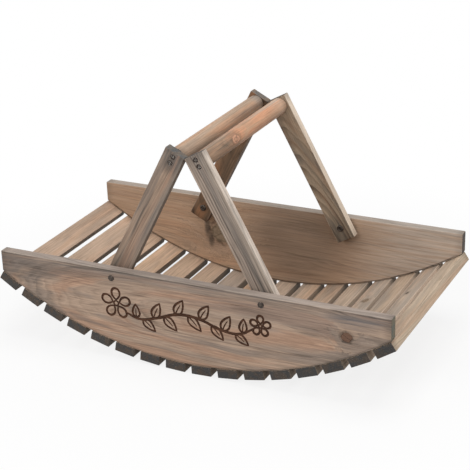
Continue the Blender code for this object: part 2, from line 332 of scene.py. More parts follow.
# What a piece's own look leaves out. Up to three smudges are given by stain, place, size and amount, and a
# smudge can also be painted light.
PLAIN_LOOK = {
    "Shift": (0, 0, 0), "Pith": (0, 0.004, -0.045), "Pith drift": (0, -0.02, 0.03), "Pith bend": (0, 0, 0),
    "Ring width": 0.003, "Rings": 0.7, "Streaks": 0.6, "Fibres": 0.6,
    "Pale wood": (0.42, 0.3, 0.215), "Ring wood": (0.22, 0.145, 0.1),
    "Warm stain": (0.44, 0.245, 0.155), "Warm amount": 0.5,
    "Grey stain": (0.215, 0.192, 0.175), "Grey amount": 0.5, "Grey side": (0, 0, 0), "Grey from": 1.0,
    "Grey fade": 0.03, "Grey depth": 0.8, "Smudges": [], "Smudge raggedness": 1.4, "Smudge grain": 0.45,
    "Painted light and side stain": (0.24, 0.18, 0.13), "Side amount": 0.0, "Painted side end shade": 0.0, "Bare side": 0.0,
    "Edge stain and painted shade line": 0.0, "Edge stain and painted shade line below": 1.0, "End stain": (0.078, 0.068, 0.062),
    "Worn wood": (0.5, 0.42, 0.34), "Wear": 0.3,
    "Knot": (0, 0, 0), "Knot radius": 0.0, "Knot wood": (0.15, 0.075, 0.045),
    "Knot squeeze": (0.85, 1, 0.35), "Knot ring width": 0.0024, "Knot rings": 0.09, "Knot rim": 0.55,
}
SMUDGES = ("Smudge 1", "Smudge 2", "Smudge 3")
SMUDGE_PARTS = (" stain", " place", " size", " amount")
NO_SMUDGE = ((0.1, 0.082, 0.07), (0, 0, 0), (1, 1, 1), 0.0)


def whole_look(own_look):
    """The plain look with a piece's own over it, and each smudge's four values under their own names."""
    values = {**PLAIN_LOOK, **own_look}
    marks = [*values.pop("Smudges"), *[NO_SMUDGE] * len(SMUDGES)]
    for name, mark in zip(SMUDGES, marks):
        values.update({name + part: value for part, value in zip(SMUDGE_PARTS, mark)})
    return values


def make_pine(knot):
    """Stained, weathered pine as a solid: rings round a pith line, a knot, streaks, fibres and wear."""
    inputs = {"Place": ORIGIN, **EDGE_VALUES, **whole_look({})}
    tree, given, result = new_group("aged_pine", inputs, {"Colour": WHITE, "Roughness": 0.0, "Height": 0.0})
    place, shift = given["Place"], given["Shift"]
    along, across, _ = split(place)

    def grain(stretch, jump, detail=2.0, roughness=0.5):
        return mottle(place, stretch, vector_calc("ADD", shift, jump), detail, roughness)

    # Growth rings round the pith, which drifts through the piece
    pith = vector_calc("ADD", given["Pith"], times(given["Pith drift"], along))
    pith = vector_calc("ADD", pith, times(given["Pith bend"], scale(along, along)))
    radius = vector_calc("LENGTH", vector_calc("MULTIPLY", vector_calc("SUBTRACT", place, pith), (0, 1, 1)))
    radius = scale_add(grain((4.5, 22, 22), (0, 0, 0)), 0.016, radius)
    radius = scale_add(grain((24, 110, 110), (6, 1, 8)), 0.0022, radius)
    size = given["Knot radius"]
    values = {"Place": place, "Centre": given["Knot"], "Radius": size, "Squeeze": given["Knot squeeze"]}
    spot = use_group(knot, values)
    radius = calc("ADD", radius, scale(spot["Pull"], scale(size, 1.6)))
    phase = calc("DIVIDE", radius, given["Ring width"])
    within = calc("FRACT", phase)
    late = scale(calc("POWER", within, 2.0), rise(within, 1.0, 0.84))
    dice = tree.nodes.new("ShaderNodeTexWhiteNoise")
    dice.noise_dimensions = "1D"
    feed(dice.inputs["W"], calc("FLOOR", phase))
    tone = scale_add(calc("POWER", dice.outputs["Value"], 1.5), 1.3, 0.3)
    tone = scale(tone, rise(grain((5, 40, 40), (9, 4, 1)), 0.35, 0.62, 0.25, 1.0))
    ring = scale(scale(late, tone), given["Rings"])
    colour = tint(ring, given["Pale wood"], given["Ring wood"])

    # Streaks follow the rings, so they run along the grain, arch on flat-sawn faces and swing round knots
    joiner = tree.nodes.new("ShaderNodeCombineXYZ")
    feed_all(joiner.inputs, (along, radius, scale(across, 0.3)))
    figure = joiner.outputs[0]

    def streaks(stretch, jump, detail=2.0):
        return mottle(figure, stretch, vector_calc("ADD", shift, jump), detail)

    # Warm and grey streaks, then the greyer end or edge and the smudges, which can also be painted light
    warm = rise(streaks((2.6, 95, 95), (17, 2, 5), 3.0), 0.48, 0.62)
    colour = tint(scale(warm, given["Warm amount"]), colour, given["Warm stain"])
    grey = rise(streaks((3.6, 110, 110), (3, 31, 11), 3.0), 0.47, 0.63)
    grey = scale(grey, given["Grey amount"])
    ragged = grain((8, 75, 75), (1, 7, 23), 5.0, 0.62)
    reach = vector_calc("DOT_PRODUCT", place, given["Grey side"])
    reach = less(scale_add(ragged, 0.036, reach), given["Grey from"])
    zone = scale(rise(reach, 0.008, given["Grey fade"]), given["Grey depth"])
    fine = grain((9, 260, 260), (6, 4, 19))
    zone = scale(zone, rise(fine, 0.38, 0.58, 0.55, 1.0))
    colour = tint(calc("MAXIMUM", grey, zone), colour, given["Grey stain"])
    smudge_grain = rise(fine, 0.36, 0.60, given["Smudge grain"], 1.0)
    for name in SMUDGES:
        away = vector_calc("SUBTRACT", place, given[name + " place"])
        away = vector_calc("LENGTH", vector_calc("DIVIDE", away, given[name + " size"]))
        away = scale_add(less(ragged, 0.5), given["Smudge raggedness"], away)
        smudge_and_painted_light = scale(rise(away, 1.2, 0.3), given[name + " amount"])
        smudge_and_painted_light = scale(smudge_and_painted_light, smudge_grain)
        colour = tint(smudge_and_painted_light, colour, given[name + " stain"])

    # Dark and pale streaks a few millimetres wide
    dark = rise(streaks((6, 300, 300), (12, 9, 2)), 0.52, 0.68)
    pale = rise(streaks((8, 420, 420), (4, 14, 6)), 0.54, 0.70)
    streak = scale_add(dark, -0.40, scale(pale, 0.22))
    shade = scale_add(streak, given["Streaks"], 1.0)

    # Blotches, fibres and dark pores
    fibre = grain((22, 900, 900), (0, 0, 0), 3.0, 0.65)
    hair = grain((70, 2600, 2600), (0, 0, 0))
    blend = scale_add(grain((14, 480, 480), (7, 7, 3), 3.0, 0.6), 1.2, fibre)
    blend = calc("ADD", scale_add(hair, 0.5, blend), -1.35)
    shade = scale_add(blend, given["Fibres"], shade)
    blotch = grain((11, 40, 40), (5, 5, 29), 3.0)
    shade = scale_add(less(blotch, 0.5), 0.45, shade)
    pore = rise(grain((55, 1500, 1500), (2, 3, 5)), 0.66, 0.74)
    shade = scale_add(pore, -0.22, shade)

    # A darker line just inside an arris: stain gathered under the top arris, and painted shade along the
    # lower edge where a board sits on the slats
    line = scale_add(ragged, 0.003, given["Side"])
    line = scale(rise(line, 0.0050, 0.0036), rise(given["Side"], 0.0004, 0.0014))
    below = less(given["Edge stain and painted shade line below"], across)
    line = scale(line, rise(below, 0.0, 0.01))
    shade = scale_add(line, scale(given["Edge stain and painted shade line"], -1.0), shade)

    # The knot
    colour = tint(scale(spot["Halo"], 0.35), colour, given["Ring wood"])
    turns = calc("DIVIDE", scale(size, math.tau), given["Knot ring width"])
    eye = calc("SINE", scale(spot["Share"], turns))
    heart = times(given["Knot wood"], scale_add(eye, given["Knot rings"], 1.0))
    colour = tint(scale(spot["Core"], 0.92), colour, heart)
    rim = scale(spot["Rim"], given["Knot rim"])
    shade = scale(shade, less(1.0, rim))
    shade = scale(shade, scale_add(spot["Crack"], -0.5, 1.0))

    # Narrow sides, one of which may stay as bare as the face. Near the ends the sides get painted shade,
    # where slats pass under the boards
    bare = rise(scale(across, given["Bare side"]), 0.001, 0.003, 1.0, 0.0)
    on_side = rise(given["Side"], 0.0008, 0.0003)
    # The side stain is partly painted light and painted shade: on slats and arms it follows how each side
    # faces the lamps
    stained = scale(on_side, given["Side amount"])
    colour = tint(scale(stained, bare), colour, given["Painted light and side stain"])
    painted_side_end_shade = scale(on_side, rise(given["End"], 0.035, 0.012))
    painted_side_end_shade = scale(painted_side_end_shade, given["Painted side end shade"])
    shade = scale(shade, less(1.0, painted_side_end_shade))
    colour = times(colour, shade)

    # Sawn ends drink the stain, and handled arrises lose it
    speck = grain((400, 700, 700), (0, 0, 0))
    soaked = scale(rise(given["End"], 0.016, 0.0), scale(blotch, -0.5))
    colour = times(colour, calc("ADD", soaked, 1.0))
    saw_marks = vector_calc("DOT_PRODUCT", place, (0, 5200.0, 1820.0))
    end_shade = scale_add(calc("SINE", saw_marks), 0.05, 0.6)
    end_shade = scale_add(speck, 0.8, end_shade)
    end_shade = scale_add(ring, -0.45, end_shade)
    browner = vector_calc("MULTIPLY", given["End stain"], (1.4, 1.15, 0.95))
    brown = rise(grain((30, 110, 110), (2, 19, 13)), 0.42, 0.62)
    end_colour = times(tint(brown, given["End stain"], browner), end_shade)
    near_end = scale_add(speck, 0.001, given["End"])
    colour = tint(rise(near_end, 0.0012, 0.0007), colour, end_colour)
    scuff = grain((45, 120, 120), (8, 1, 4), 3.0)
    edge = scale_add(scuff, -0.0026, given["Arris"])
    worn = scale(rise(edge, 0.0004, -0.0010), given["Wear"])
    worn = scale(worn, rise(given["End"], 0.002, 0.012))
    colour = tint(worn, colour, given["Worn wood"])

    rough = scale_add(worn, -0.08, scale_add(fibre, 0.2, 0.62))
    rough = scale_add(spot["Core"], -0.1, rough)
    height = scale_add(fibre, 0.9, scale(ring, 0.5))
    height = scale_add(dark, -0.3, height)
    height = scale_add(pore, -0.5, height)
    feed_all(result, (colour, rough, scale_add(spot["Rim"], -0.5, height)))
    return tree


def new_material(name):
    material = bpy.data.materials.new(name)
    material.use_nodes = True
    tree = material.node_tree
    return material, tree, tree.nodes["Principled BSDF"]


def own_place(tree):
    return tree.nodes.new("ShaderNodeTexCoord").outputs["Object"]


def place_from(tree, place):
    """A piece's own coordinates: X along its grain, Y across its face, Z out of the face, in metres."""
    mapping = tree.nodes.new("ShaderNodeMapping")
    mapping.vector_type = "TEXTURE"
    mapping.inputs["Location"].default_value = place.translation
    mapping.inputs["Rotation"].default_value = place.to_euler()
    feed(mapping.inputs["Vector"], own_place(tree))
    return mapping.outputs[0]


def finish(shader, colour, roughness, height, strength, depth, metallic=0.0, specular=0.5):
    """Colour, roughness and bump of a surface. The bump is as strong as told and its depth is in metres."""
    bump = shader.id_data.nodes.new("ShaderNodeBump")
    bump.inputs["Strength"].default_value = strength
    bump.inputs["Distance"].default_value = depth
    feed(bump.inputs["Height"], height)
    feed(shader.inputs["Normal"], bump.outputs[0])
    feed(shader.inputs["Base Color"], colour)
    feed(shader.inputs["Roughness"], roughness)
    shader.inputs["Metallic"].default_value = metallic
    shader.inputs["Specular IOR Level"].default_value = specular


def make_wood(name, place, edges, look, groups, edge_values=None):
    """Aged pine for one piece, with the piece's own place in the log, stains and knots."""
    material, tree, shader = new_material(name)
    here = place_from(tree, place)
    edge = use_group(groups[edges], {"Place": here, **(edge_values or {})})
    values = {**whole_look(look), "Place": here}
    values.update({label: edge[label] for label in EDGE_VALUES})
    wood = use_group(groups["pine"], values)
    finish(shader, *wood, strength=0.6, depth=0.0005, specular=0.3)
    return material


def make_burnt():
    """Scorched wood at the bottom of the engraved grooves."""
    material, tree, shader = new_material("burnt_groove")
    char = mottle(own_place(tree), (60, 60, 900), (0, 0, 0), 3.0)
    colour = tint(rise(char, 0.35, 0.65), (0.042, 0.019, 0.011), (0.115, 0.055, 0.032))
    roughness = rise(char, 0.2, 0.8, 0.75, 0.95)
    finish(shader, colour, roughness, char, strength=0.5, depth=0.0004, specular=0.2)
    return material


def make_browned_steel():
    """Steel of the bolts and nuts: brown finish, worn brighter in patches, with rust in fine specks."""
    material, tree, shader = new_material("browned_steel")
    source = own_place(tree)
    cloud = mottle(source, (420, 420, 420), (0, 0, 0), 4.0, 0.6)
    fine = mottle(source, (2400, 2400, 2400), (4, 4, 4))
    colour = tint(rise(cloud, 0.35, 0.65), (0.032, 0.025, 0.021), (0.092, 0.072, 0.058))
    colour = tint(rise(fine, 0.60, 0.70, 0.0, 0.6), colour, (0.11, 0.045, 0.024))
    roughness = rise(cloud, 0.3, 0.7, 0.65, 0.45)
    finish(shader, colour, roughness, fine, strength=0.3, depth=0.0001, metallic=0.6)
    return material


def make_screw_steel(name, stain, bright_from):
    """Steel of the screws and nails: dark stain over bright metal that shows in specks."""
    material, tree, shader = new_material(name)
    cloud = mottle(own_place(tree), (900, 900, 900), (0, 0, 0), 3.0)
    colour = tint(rise(cloud, bright_from, bright_from + 0.1), stain, (0.62, 0.59, 0.55))
    roughness = rise(cloud, 0.4, 0.62, 0.6, 0.35)
    finish(shader, colour, roughness, cloud, strength=0.3, depth=0.0001, metallic=0.75)
    return material


def set_out(centre, along, across):
    """One piece's frame: X along its grain, Y across its face and Z out of the face."""
    along = along.normalized()
    out = along.cross(across).normalized()
    place = Matrix((along, out.cross(along), out)).transposed().to_4x4()
    place.translation = centre
    return place


def box_centre(node):
    low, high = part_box(node)
    return (low + high) / 2


def ease_edges(bm, ease):
    sharp = [edge for edge in bm.edges if edge.calc_face_angle() > SHARP_ANGLE]
    bmesh.ops.bevel(
        bm, geom=sharp, offset=ease, segments=EASE_STEPS, profile=0.5, material=-1, affect="EDGES",
        clamp_overlap=True,
    )


def saw_block(half, ease):
    """A sawn block with eased arrises, cut into sections so that it can be a little uneven."""
    bm = bmesh.new()
    bmesh.ops.create_cube(bm, size=2.0)
    bmesh.ops.scale(bm, vec=half, verts=bm.verts)
    ease_edges(bm, ease)
    count = round(half.x / SECTION_LENGTH)
    for step in range(1 - count, count):
        geom = bm.verts[:] + bm.edges[:] + bm.faces[:]
        bmesh.ops.bisect_plane(bm, geom=geom, plane_co=(half.x * step / count, 0, 0), plane_no=X_AXIS)
    return bm


def make_uneven(bm, seed):
    """Moves each point a little inwards or outwards, never past the sawn size."""
    shift = Vector((seed, 2 * seed, 3 * seed))
    bm.normal_update()
    for vert in bm.verts:
        outwards = vert.normal.dot(noise.noise_vector(vert.co * UNEVEN_RATE + shift))
        vert.co += vert.normal * UNEVENNESS * (outwards - 1)


def turn_profile(points, sides):
    """A closed turned shape from (radius, height) points that start and end on the axis."""
    bm = bmesh.new()
    verts = [bm.verts.new((radius, 0, height)) for radius, height in points]
    edges = [bm.edges.new(pair) for pair in zip(verts, verts[1:])]
    bmesh.ops.spin(
        bm, geom=verts + edges, cent=(0, 0, 0), axis=Z_AXIS, angle=math.tau, steps=sides, use_merge=True
    )
    bmesh.ops.remove_doubles(bm, verts=bm.verts, dist=MERGE_DISTANCE)
    bmesh.ops.recalc_face_normals(bm, faces=bm.faces)
    return bm


def drill(radius, depth):
    """A plain drill, as deep on both sides of the origin."""
    return turn_profile([(0, -depth), (radius, -depth), (radius, depth), (0, depth)], FASTENER_SIDES)


def to_mesh(bm, name, material=None):
    mesh = bpy.data.meshes.new(name)
    bmesh.ops.recalc_face_normals(bm, faces=bm.faces)
    bm.to_mesh(mesh)
    bm.free()
    if material:
        mesh.materials.append(material)
    return mesh


def joined(parts):
    """One bmesh from (bmesh, place) pairs."""
    whole = bmesh.new()
    for bm, place in parts:
        copy = to_mesh(bm, "copy")
        copy.transform(place)
        whole.from_mesh(copy)
        bpy.data.meshes.remove(copy)
    return whole


def new_object(name, data):
    thing = bpy.data.objects.new(name, data)
    bpy.context.scene.collection.objects.link(thing)
    return thing


def worked_out(thing):
    """A new mesh of an object as its modifiers or its curve's settings make it."""
    bpy.context.view_layer.update()
    return bpy.data.meshes.new_from_object(thing.evaluated_get(bpy.context.evaluated_depsgraph_get()))


def cut_away(mesh, cutter, self_crossing=False):
    """The mesh with the cutter's volume taken out. The cut faces take the cutter's material."""
    body = new_object("body", mesh)
    tool = new_object("tool", cutter)
    cut = body.modifiers.new("cut", "BOOLEAN")
    cut.operation = "DIFFERENCE"
    cut.solver = "EXACT"
    cut.object = tool
    cut.use_self = self_crossing
    cut.material_mode = "TRANSFER"
    result = worked_out(body)
    for piece in (body, tool):
        bpy.data.objects.remove(piece)
    return result


def add_piece(name, mesh, place, body, replaced=()):
    """A finished piece, shaded smooth over its eased arrises, that rides on its body."""
    mesh.name = name
    mesh.transform(place)
    mesh.shade_smooth()
    mesh.set_sharp_from_angle(angle=SHARP_ANGLE)
    piece = new_object(name, mesh)
    even = piece.modifiers.new("even shading", "WEIGHTED_NORMAL")
    even.keep_sharp = True
    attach(piece, body)
    if replaced:
        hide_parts(*replaced)


def board_blank():
    """A side board's outline filled and given its thickness: straight top, short ends, bowed below."""
    bm = bmesh.new()
    half = BOARD_HALF
    half_angle = math.asin(half.x / BOW_RADIUS)
    centre = Vector((0, BOW_CENTRE.z - BOARD_MIDDLE, -half.z))
    start = bm.verts.new(centre + Vector((-half.x, -BOW_RADIUS * math.cos(half_angle), 0)))
    bmesh.ops.spin(
        bm, geom=[start], cent=centre, axis=Z_AXIS, angle=2 * half_angle, steps=BOW_STEPS, use_merge=False
    )
    ends = sorted((vert for vert in bm.verts if len(vert.link_edges) == 1), key=lambda vert: vert.co.x)
    tops = [bm.verts.new((vert.co.x, half.y, -half.z)) for vert in ends]
    for pair in ((ends[0], tops[0]), (tops[0], tops[1]), (tops[1], ends[1])):
        bm.edges.new(pair)
    bmesh.ops.contextual_create(bm, geom=bm.edges[:])
    raised = bmesh.ops.extrude_face_region(bm, geom=bm.faces[:])["geom"]
    lifted = [item for item in raised if isinstance(item, bmesh.types.BMVert)]
    bmesh.ops.translate(bm, vec=(0, 0, 2 * half.z), verts=lifted)
    bmesh.ops.recalc_face_normals(bm, faces=bm.faces)
    ease_edges(bm, BOARD_EASE)
    return bm


def stroke(curve, points, closed=False, sharp=()):
    """One smooth groove through (along, up, width) points in millimetres, with sharp turns where told."""
    spline = curve.splines.new("BEZIER")
    spline.bezier_points.add(len(points) - 1)
    spline.use_cyclic_u = closed
    spline.resolution_u = GROOVE_STEPS
    for index, (along, up, width) in enumerate(points):
        knob = spline.bezier_points[index]
        knob.co = Vector((along, up, 0)) / MILLIMETRES
        knob.handle_left_type = knob.handle_right_type = "VECTOR" if index in sharp else "AUTO"
        knob.radius = width


def leant(outline, base, heading, length, width):
    """A leaf's outline, in shares of its length and width, set at its base along its heading in degrees."""
    turn = Matrix.Rotation(math.radians(heading), 2)
    spots = [turn @ Vector((along * length, across * width)) + Vector(base) for along, across, _ in outline]
    return [(spot.x, spot.y, point[2]) for spot, point in zip(spots, outline)]


def spot_from(along, up, turn, distance):
    """The point this far from (along, up), in the direction of the turn."""
    return along + distance * math.cos(turn), up + distance * math.sin(turn)


# Outline points are shares of length and width, with the groove's width. The stem's points, and the leaves'
# and blossoms' places, lengths and widths, are in millimetres, and a leaf's heading is in degrees.
LEAF_SHARES = [
    (0, 0, 0.9), (0.28, 0.48, 1), (0.64, 0.40, 1), (1, 0, 0.8), (0.62, -0.40, 0.9), (0.26, -0.48, 0.9),
]
RIB_SHARES = [(0.05, 0, 0.7), (0.38, 0.04, 0.65), (0.68, 0, 0.5)]
PETAL_SHARES = [
    (0, 0, 0.8), (0.45, 0.44, 1), (0.88, 0.34, 1.05), (1, 0, 1.05), (0.88, -0.34, 1), (0.45, -0.44, 0.9),
]
SPRIG_STEM = [
    (-92, -7, 0.9), (-70, -14, 1.1), (-40, -7, 1.25), (-8, 4, 1.3), (26, 3, 1.3), (58, -7, 1.25),
    (86, -8, 1.1), (108, 4, 0.9),
]
SPRIG_LEAVES = [
    (-74, -13, 92, 21, 11), (-64, -13, -40, 25, 12), (-47, -9, 66, 27, 13), (-30, -3, -44, 27, 13),
    (-12, 3, 62, 27, 13), (8, 5, -46, 28, 13), (26, 3, 58, 27, 13), (44, -3, -48, 26, 12),
    (60, -8, 62, 27, 13), (80, -9, -36, 24, 11), (91, -6, 84, 22, 11),
]
BLOSSOMS = [(-106, 4, 18, 14), (118, 10, 12, 10)]
PETAL_COUNT, PETAL_START = 5, 0.28
EYE_POINTS, EYE_RADIUS, EYE_GROOVE = 6, 0.2, 0.8


def sprig_cutter(place, burnt):
    """Round-bottomed tubes along a plain sprig: a wavy stem, leaves to both sides, a blossom at each end."""
    curve = bpy.data.curves.new("sprig", "CURVE")
    curve.dimensions = "3D"
    curve.bevel_depth = GROOVE_RADIUS
    curve.bevel_resolution = GROOVE_FACETS
    curve.use_fill_caps = True
    stroke(curve, SPRIG_STEM)
    for along, up, heading, length, width in SPRIG_LEAVES:
        stroke(curve, leant(LEAF_SHARES, (along, up), heading, length, width), True, (0, 3))
        stroke(curve, leant(RIB_SHARES, (along, up), heading, length, width))
    for along, up, length, width in BLOSSOMS:
        for petal in range(PETAL_COUNT):
            heading = 90 + 360 // PETAL_COUNT * petal
            base = spot_from(along, up, math.radians(heading), PETAL_START * length)
            stroke(curve, leant(PETAL_SHARES, base, heading, length, width), True, (0,))
        turns = [math.tau * step / EYE_POINTS for step in range(EYE_POINTS)]
        eye = [(*spot_from(along, up, turn, EYE_RADIUS * length), EYE_GROOVE) for turn in turns]
        stroke(curve, eye, True)
    model = new_object("sprig", curve)
    mesh = worked_out(model)
    bpy.data.objects.remove(model)
    mesh.transform(Matrix.Translation(place))
    mesh.materials.clear()
    mesh.materials.append(burnt)
    return mesh


def bit_over(node, place, bit):
    """A drill bit with its place: over a node's middle, square to the face of the piece at this place."""
    spot = place.inverted() @ box_centre(node)
    return bit, Matrix.Translation((spot.x, spot.y, 0))


def make_boards(groups, burnt):
    for name, side in SIDES:
        node = "side_board_" + name
        centre = box_centre(node)
        place = set_out(centre, X_AXIS * -side, Z_AXIS)
        wood = make_wood(node + "_pine", place, "board", BOARD_LOOKS[name], groups)
        mesh = to_mesh(board_blank(), node, wood)
        bits = []
        for end in ENDS:
            bit = drill(BOLT_HOLE_RADIUS, BOARD_HALF.z + DRILL_OVERRUN)
            bits.append(bit_over(f"pivot_bolt_{end}_{name}", place, bit))
        mesh = cut_away(mesh, to_mesh(joined(bits), "drills", wood))
        if name == "front":
            spot = Vector((SPRIG_CENTRE.x, SPRIG_CENTRE.z - centre.z, BOARD_HALF.z + GROOVE_STAND_OFF))
            mesh = cut_away(mesh, sprig_cutter(spot, burnt), self_crossing=True)
        add_piece("board_" + name, mesh, place, "tray", [node])


def slat_place(number):
    """A slat's frame: it lies square to the bow's radius through its middle."""
    centre = box_centre(f"slat_{number:02d}")
    up = (BOW_CENTRE - centre).normalized()
    return set_out(centre, -Y_AXIS, Y_AXIS.cross(up))


def make_slats(groups):
    for number in range(1, SLAT_COUNT + 1):
        node = f"slat_{number:02d}"
        place = slat_place(number)
        wood = make_wood(node + "_pine", place, "block", slat_look(number), groups, {"Half size": SLAT_HALF})
        bm = saw_block(SLAT_HALF, SLAT_EASE)
        make_uneven(bm, number)
        add_piece("cross_" + node, to_mesh(bm, node, wood), place, "tray", [node])


def arm_place(end, name):
    """An arm's frame: along it from the pivot to the grip, with its outer face up."""
    pivot = box_centre(f"sleeve_nut_{end}_{name}")
    grip = box_centre("grip_" + end)
    along = Vector((grip.x - pivot.x, 0, grip.z - pivot.z)).normalized()
    out = Y_AXIS * (-1 if name == "front" else 1)
    pivot.y = box_centre(f"arm_{end}_{name}").y
    return set_out(pivot + along * (ARM_ABOVE_PIVOT - ARM_HALF.x), along, out.cross(along))


def make_arms(groups):
    through = ARM_HALF.z + DRILL_OVERRUN
    face = ARM_HALF.z - SCREW_SINK
    sink_profile = [(0, -through), (SCREW_SHANK_RADIUS, -through), (SCREW_SHANK_RADIUS, face - SCREW_CONE)]
    sink_profile += [(SINK_RADIUS, face), (SINK_RADIUS, through), (0, through)]
    for end, name, _ in CORNERS:
        node = f"arm_{end}_{name}"
        place = arm_place(end, name)
        look = ARM_LOOKS[end, name]
        wood = make_wood(node + "_pine", place, "block", look, groups, {"Half size": ARM_HALF})
        bm = saw_block(ARM_HALF, ARM_EASE)
        make_uneven(bm, look["Shift"][0])
        bits = [(drill(BORE_RADIUS, through), Matrix.Translation((ARM_HALF.x - ARM_ABOVE_PIVOT, 0, 0)))]
        for level in SCREW_TURNS:
            sink = turn_profile(sink_profile, FASTENER_SIDES)
            bits.append(bit_over(f"grip_screw_{end}_{name}_{level}", place, sink))
        mesh = cut_away(to_mesh(bm, node, wood), to_mesh(joined(bits), "drills", wood))
        add_piece("handle_" + node, mesh, place, end + "_handle", [node])


def make_grips(groups):
    half, radius, ease = GRIP_HALF_LENGTH, GRIP_RADIUS, GRIP_EASE
    count = round(half / SECTION_LENGTH)
    inner, corner = half - 2 * ease, GRIP_CORNER * ease
    start = [(0, -half), (radius - ease, -half), (radius - corner, corner - half)]
    middle = [(radius, inner * step / count) for step in range(-count, count + 1)]
    profile = start + middle + [(x, -y) for x, y in reversed(start)]
    for end in ENDS:
        node = "grip_" + end
        place = set_out(box_centre(node), Y_AXIS, X_AXIS)
        look = GRIP_LOOKS[end]
        wood = make_wood(node + "_pine", place, "rod", look, groups)
        bm = turn_profile(profile, GRIP_SIDES)
        bmesh.ops.rotate(bm, verts=bm.verts, cent=(0, 0, 0), matrix=Matrix.Rotation(math.pi / 2, 3, "Y"))
        make_uneven(bm, look["Shift"][0])
        mesh = to_mesh(bm, node, wood)
        add_piece("round_" + node, mesh, place, end + "_handle", [node])


def dome(radius, height):
    """A low dome's profile from its top to its rim, standing on a short upright rim."""
    crown = height - DOME_RIM * height
    sphere = (radius**2 + crown**2) / (2 * crown)
    turns = [math.asin(radius / sphere) * step / DOME_STEPS for step in range(DOME_STEPS + 1)]
    return [(sphere * math.sin(turn), height - sphere * (1 - math.cos(turn))) for turn in turns]


def fastener_place(node, side, head_height):
    """A fastener's frame: Z leaves the head's top along Y, and the origin is under the head."""
    low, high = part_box(node)
    centre = (low + high) / 2
    centre.y = (high.y if side > 0 else low.y) - side * head_height
    return set_out(centre, X_AXIS, Z_AXIS * -side)


def make_pivots(steel):
    bolt_profile = dome(BOLT_RADIUS, BOLT_DOME)
    bolt_profile += [(BOLT_RADIUS, 0), (SHANK_RADIUS, 0), (SHANK_RADIUS, -SHANK_LENGTH), (0, -SHANK_LENGTH)]
    floor = NUT_DOME - NUT_SOCKET_DEPTH
    nut_profile = [
        (0, floor), (NUT_SOCKET_RADIUS - NUT_SOCKET_TAPER, floor),
        (NUT_SOCKET_RADIUS, NUT_DOME - NUT_LIP_DEPTH), (NUT_SOCKET_RADIUS + NUT_LIP_WIDTH, NUT_DOME),
        (NUT_RADIUS - NUT_SHOULDER_WIDTH, NUT_DOME - NUT_SHOULDER_DEPTH), (NUT_RADIUS, 0.5 * NUT_DOME),
        (NUT_RADIUS, 0), (BARREL_RADIUS, 0), (BARREL_RADIUS, -BARREL_LENGTH), (SHANK_RADIUS, -BARREL_LENGTH),
        (SHANK_RADIUS, -NUT_SOCKET_DEPTH), (0, -NUT_SOCKET_DEPTH),
    ]
    for end, name, side in CORNERS:
        corner = f"{end}_{name}"
        bolt, nut = "pivot_bolt_" + corner, "sleeve_nut_" + corner
        mesh = to_mesh(turn_profile(bolt_profile, FASTENER_SIDES), bolt, steel)
        place = fastener_place(bolt, side, BOLT_DOME)
        add_piece("bolt_" + corner, mesh, place, "tray", [bolt])
        mesh = to_mesh(turn_profile(nut_profile, FASTENER_SIDES), nut, steel)
        place = fastener_place(nut, -side, NUT_DOME)
        add_piece("nut_" + corner, mesh, place, "tray", [nut])
        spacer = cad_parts["pivot_spacer_" + corner]
        spacer.data.materials.clear()
        spacer.data.materials.append(steel)


def screw_mesh(steel, recess_steel):
    """A countersunk screw with a cross recess, head up at the origin."""
    profile = [
        (0, 0), (SCREW_RADIUS - SCREW_RIM_WIDTH, 0), (SCREW_RADIUS, -SCREW_RIM_DEPTH),
        (SCREW_SHANK_RADIUS, -SCREW_CONE), (SCREW_SHANK_RADIUS, SCREW_TIP - SCREW_LENGTH), (0, -SCREW_LENGTH),
    ]
    cross = bmesh.new()
    for turn in (0, math.pi / 2):
        arm = bmesh.ops.create_cube(cross, size=2.0)["verts"]
        bmesh.ops.scale(cross, vec=CROSS_SIZE, verts=arm)
        bmesh.ops.scale(cross, vec=CROSS_TAPER, verts=[vert for vert in arm if vert.co.z < 0])
        bmesh.ops.rotate(cross, verts=arm, cent=(0, 0, 0), matrix=Matrix.Rotation(turn, 3, "Z"))
    blank = to_mesh(turn_profile(profile, FASTENER_SIDES), "screw", steel)
    return cut_away(blank, to_mesh(cross, "cross", recess_steel), self_crossing=True)


def make_screws(steel, recess_steel):
    pattern = screw_mesh(steel, recess_steel)
    for end, name, side in CORNERS:
        for level, turn in SCREW_TURNS.items():
            node = f"grip_screw_{end}_{name}_{level}"
            place = fastener_place(node, side, 0) @ Matrix.Rotation(math.radians(turn), 4, "Z")
            piece = f"screw_{end}_{name}_{level}"
            add_piece(piece, pattern.copy(), place, end + "_handle", [node])


def make_nails(steel):
    """One nail up through each slat's end into the board: 16 to a side."""
    profile = [
        (0, NAIL_PROUD), (0.6 * NAIL_RADIUS, 0.8 * NAIL_PROUD), (NAIL_RADIUS, 0), (NAIL_RADIUS, -NAIL_HEAD),
        (NAIL_SHANK_RADIUS, -NAIL_NECK), (NAIL_SHANK_RADIUS, NAIL_TIP - NAIL_LENGTH), (0, -NAIL_LENGTH),
    ]
    for name, _ in SIDES:
        spot = Vector((-box_centre("side_board_" + name).y, 0, -SLAT_HALF.z))
        driven = Matrix.Translation(spot) @ Matrix.Rotation(math.pi, 4, "X")
        places = [slat_place(number) @ driven for number in range(1, SLAT_COUNT + 1)]
        nails = joined([(turn_profile(profile, NAIL_SIDES), place) for place in places])
        add_piece("slat_nails_" + name, to_mesh(nails, "nails", steel), Matrix(), "tray")


